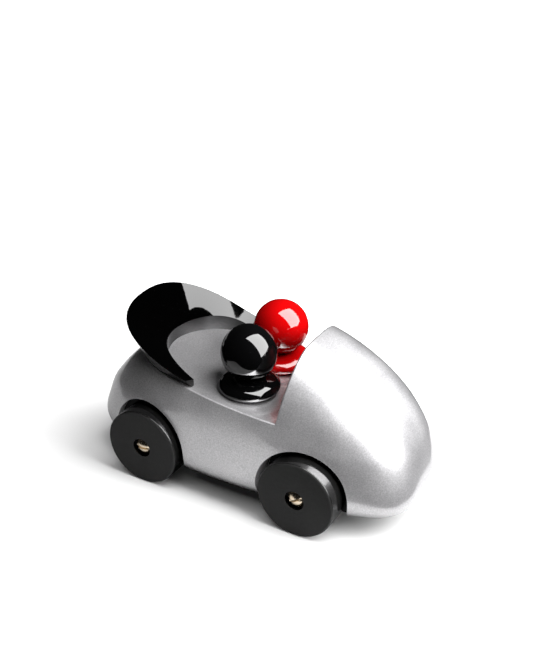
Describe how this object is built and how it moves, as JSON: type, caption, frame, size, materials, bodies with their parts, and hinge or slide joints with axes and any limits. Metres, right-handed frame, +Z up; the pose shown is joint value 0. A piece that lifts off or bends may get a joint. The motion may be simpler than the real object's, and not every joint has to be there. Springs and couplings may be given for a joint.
{
  "type": "pull back car",
  "caption": "Lacquered wooden streamliner on disc wheels, with two turned figures, a rear deck collar and a pull-back motor inside",
  "frame": {"origin": "on the floor below the middle of the toy, at the bottom centre of its bounding box", "axes": "+X forward along the car, +Y to its left, +Z up; wheel axles lie along Y"},
  "size_m": [0.1575, 0.0742, 0.0801],
  "materials": {
    "silver_lacquer": "silver metallic lacquer over wood, glossy",
    "black_lacquer": "black high-gloss lacquer over wood",
    "red_lacquer": "red high-gloss lacquer over wood",
    "wheel_black": "black lacquered wood, satin faces, glossy treads",
    "dowel_wood": "plain beech",
    "screw_nickel": "nickel plated, turned",
    "steel": "bright steel",
    "brass": "turned brass",
    "gear_nylon": "natural moulded nylon",
    "case_plastic": "moulded black plastic"
  },
  "bodies": {
    "body": {"body": "silver_lacquer", "spoiler": "black_lacquer", "spoiler_dowels": "dowel_wood", "figure_dowels": "dowel_wood", "driver_torso": "black_lacquer", "driver_head": "black_lacquer", "passenger_torso": "red_lacquer", "passenger_head": "red_lacquer", "front_wheel_screws": "screw_nickel", "front_washers": "steel", "axle_bushes": "brass", "gear_case": "case_plastic", "spring_case": "case_plastic", "case_screws": "steel", "compound_shaft": "steel", "mainspring": "steel", "motor_cover": "case_plastic", "cover_screws": "steel"},
    "rear_axle": {"rear_axle": "steel", "rear_wheel_right": "wheel_black", "rear_wheel_left": "wheel_black", "rear_wheel_screws": "screw_nickel", "axle_pinion": "brass"},
    "front_wheel_right": {"front_wheel_right": "wheel_black"},
    "front_wheel_left": {"front_wheel_left": "wheel_black"},
    "compound_gear": {"compound_gear": "gear_nylon"},
    "spring_arbor": {"barrel_gear": "gear_nylon", "spring_arbor": "steel"}
  },
  "joints": [
    {"name": "rear_axle_spin", "type": "hinge", "parent": "body", "child": "rear_axle", "pos_m": [-0.0429, 0, 0.018], "axis": [0, 1, 0], "continuous": true},
    {"name": "front_right_spin", "type": "hinge", "parent": "body", "child": "front_wheel_right", "pos_m": [0.0352, -0.0306, 0.018], "axis": [0, 1, 0], "continuous": true},
    {"name": "front_left_spin", "type": "hinge", "parent": "body", "child": "front_wheel_left", "pos_m": [0.0352, 0.0306, 0.018], "axis": [0, 1, 0], "continuous": true},
    {"name": "compound_spin", "type": "hinge", "parent": "body", "child": "compound_gear", "pos_m": [-0.03113, 0, 0.0222], "axis": [0, 1, 0], "continuous": true},
    {"name": "arbor_spin", "type": "hinge", "parent": "body", "child": "spring_arbor", "pos_m": [-0.01868, 0, 0.0286], "axis": [0, 1, 0], "continuous": true}
  ],
  "couplings": [
    {"joint": "compound_spin", "follows": "rear_axle_spin", "ratio": -0.47059},
    {"joint": "arbor_spin", "follows": "rear_axle_spin", "ratio": 0.12834}
  ]
}
